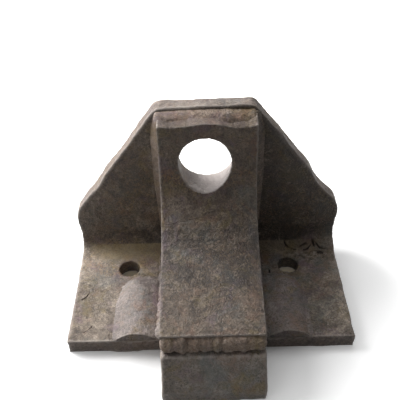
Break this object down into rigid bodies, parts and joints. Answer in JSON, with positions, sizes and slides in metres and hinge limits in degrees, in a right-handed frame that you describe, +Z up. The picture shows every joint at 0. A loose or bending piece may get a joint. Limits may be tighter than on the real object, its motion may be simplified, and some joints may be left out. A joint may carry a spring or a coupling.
{
  "type": "excavator bucket tooth",
  "caption": "Weld-on bucket tooth: a bent wing plate with two bolt holes carries a hollow strap nose with an eye and a blunt wedge point.",
  "frame": {"origin": "midway between the two bolt holes, on the underside of the base", "axes": "+X to the right along the bolt line, +Y towards the upright back, +Z up out of the base"},
  "size_m": [0.2862, 0.2055, 0.195],
  "materials": {
    "wing_plate_steel": "hot-rolled plate, mill scale worn to a brown oxide with rust in the corners",
    "nose_steel": "flame-cut plate, dark brown oxide with pale rubbed edges",
    "point_steel": "hardened wear steel, ground and abraded by soil",
    "rib_steel": "half-round bar, grey-brown oxide, rubbed along the crest",
    "weld_metal": "as-welded beads, rough and rusted"
  },
  "bodies": {
    "root": {"wing_plate": "wing_plate_steel", "nose_strap": "nose_steel", "left_cheek": "nose_steel", "right_cheek": "nose_steel", "tooth_point": "point_steel", "left_rib": "rib_steel", "right_rib": "rib_steel", "left_root_weld": "weld_metal", "right_root_weld": "weld_metal", "left_wing_weld": "weld_metal", "right_wing_weld": "weld_metal", "left_seam_weld": "weld_metal", "right_seam_weld": "weld_metal", "left_rib_weld": "weld_metal", "right_rib_weld": "weld_metal", "left_front_weld": "weld_metal", "right_front_weld": "weld_metal", "top_weld": "weld_metal", "window_weld": "weld_metal", "point_weld": "weld_metal"}
  },
  "joints": []
}
